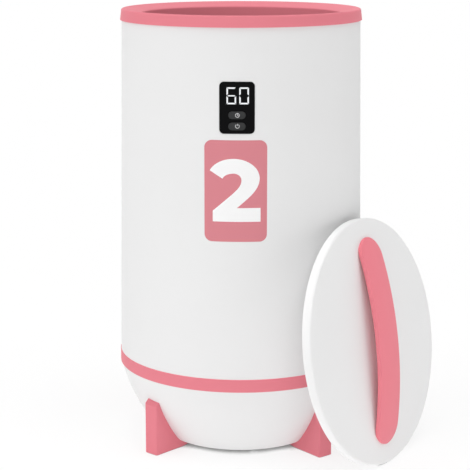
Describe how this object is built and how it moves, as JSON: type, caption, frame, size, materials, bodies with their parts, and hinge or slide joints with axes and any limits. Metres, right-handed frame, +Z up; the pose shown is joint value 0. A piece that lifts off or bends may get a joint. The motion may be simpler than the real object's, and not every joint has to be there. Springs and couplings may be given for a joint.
{
  "type": "towel warmer bucket",
  "caption": "Round heated bucket for warming towels, with a small display panel and keys, fin feet, and a loose insulated lid with an arched strap handle leaning on it.",
  "frame": {"origin": "on the drum's axis, at the floor that the feet stand on", "axes": "+Z up along the drum's axis, -Y to the front with the display panel, +X to the right, where the lid leans"},
  "size_m": [0.3893, 0.3721, 0.528],
  "materials": {
    "white_shell": "satin",
    "pink_trim": "satin",
    "bucket_sheet": "satin",
    "silicone": "matte",
    "inner_plastic": "matte",
    "heater": "satin",
    "felt": "matte",
    "sensor_metal": "satin",
    "sensor_body": "matte",
    "panel_gloss": "gloss",
    "display": "matte",
    "key_grey": "satin",
    "circuit_board": "satin",
    "rubber": "matte",
    "lead": "matte",
    "steel": "satin"
  },
  "bodies": {
    "bucket": {"outer_drum": "white_shell", "top_rim": "pink_trim", "inner_bucket": "bucket_sheet", "bucket_seal": "silicone", "bucket_support": "inner_plastic", "heater_film": "heater", "insulation_sleeve": "felt", "temperature_sensor": "sensor_body", "thermostat": "sensor_metal", "thermal_fuse": "sensor_metal", "display_panel": "panel_gloss", "display_module": "display", "control_board": "circuit_board", "key_switches": "sensor_body", "panel_holder": "inner_plastic", "accent_band": "pink_trim", "base_bowl": "white_shell", "power_board": "circuit_board", "foot_front_left": "pink_trim", "foot_front_right": "pink_trim", "foot_rear_left": "pink_trim", "foot_rear_right": "pink_trim", "foot_pads": "rubber", "foot_screws": "steel", "base_screws": "steel", "board_screws": "steel", "cord_gland": "rubber", "panel_lead": "lead", "heater_lead": "lead"},
    "timer_key": {"timer_button": "key_grey"},
    "power_key": {"power_button": "key_grey"},
    "lid": {"lid_disc": "white_shell", "lid_liner": "white_shell", "lid_foam": "felt", "lid_seal": "silicone", "lid_screws": "steel", "lid_handle": "pink_trim", "handle_screws": "steel"}
  },
  "joints": [
    {"name": "timer_press", "type": "slide", "parent": "bucket", "child": "timer_key", "axis": [0, 1, 0], "range_m": [0, 0.0008], "stiffness_N_per_m": 1000, "springref_m": -0.0005},
    {"name": "power_press", "type": "slide", "parent": "bucket", "child": "power_key", "axis": [0, 1, 0], "range_m": [0, 0.0008], "stiffness_N_per_m": 1000, "springref_m": -0.0005},
    {"name": "lid_lift", "type": "slide", "parent": "bucket", "child": "lid", "axis": [0.4263, -0.2612, 0.866], "range_m": [0, 0.35]}
  ]
}
